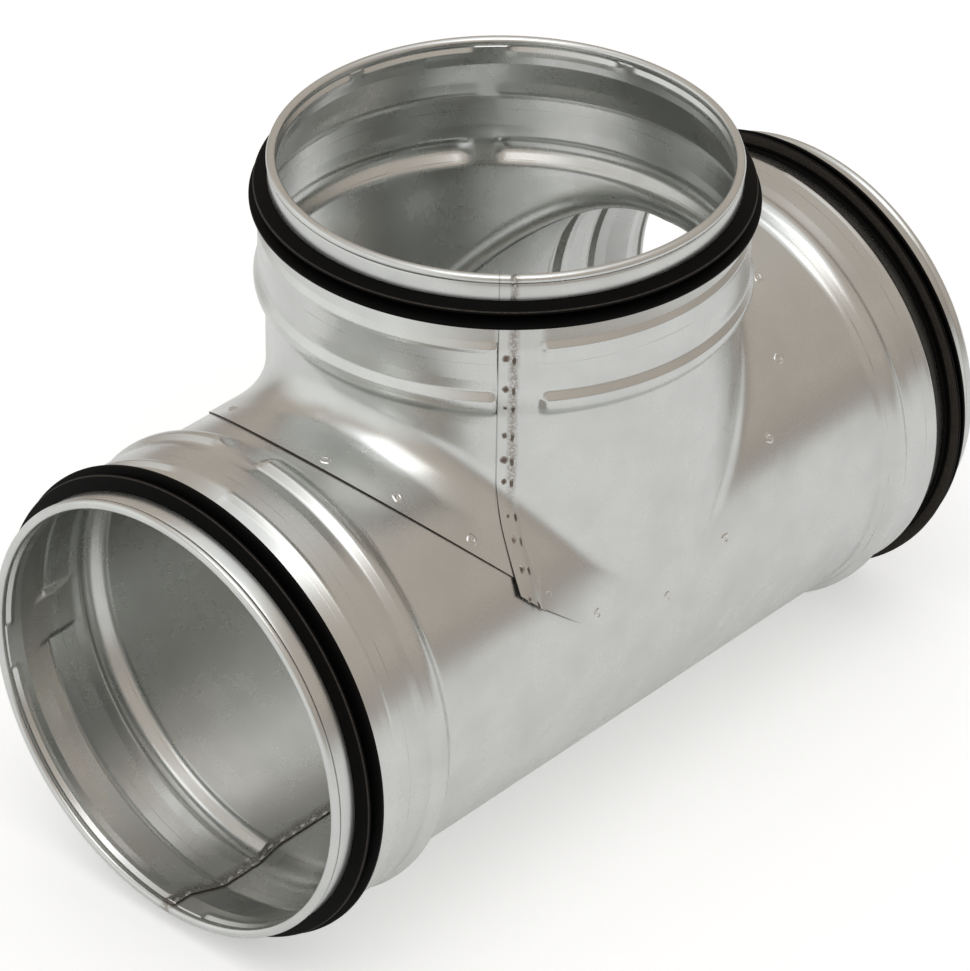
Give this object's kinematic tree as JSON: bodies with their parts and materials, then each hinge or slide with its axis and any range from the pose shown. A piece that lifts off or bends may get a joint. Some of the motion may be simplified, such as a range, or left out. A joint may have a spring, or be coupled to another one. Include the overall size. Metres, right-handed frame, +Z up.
{
  "type": "spiral duct tee",
  "caption": "Equal tee for round sheet-metal ventilation duct: a rolled run tube with a flared, spot-welded branch, and a stop bead and rubber lip seal on each spigot.",
  "frame": {"origin": "where the axes of the run and the branch cross", "axes": "+X along the run, +Z up the branch"},
  "size_m": [0.3168, 0.164, 0.2227],
  "materials": {
    "galvanised_steel": "bright zinc, lightly rolled",
    "seal_rubber": "matt black"
  },
  "bodies": {
    "root": {"run_tube": "galvanised_steel", "branch_saddle": "galvanised_steel", "seal_left": "seal_rubber", "seal_right": "seal_rubber", "seal_branch": "seal_rubber"}
  },
  "joints": []
}
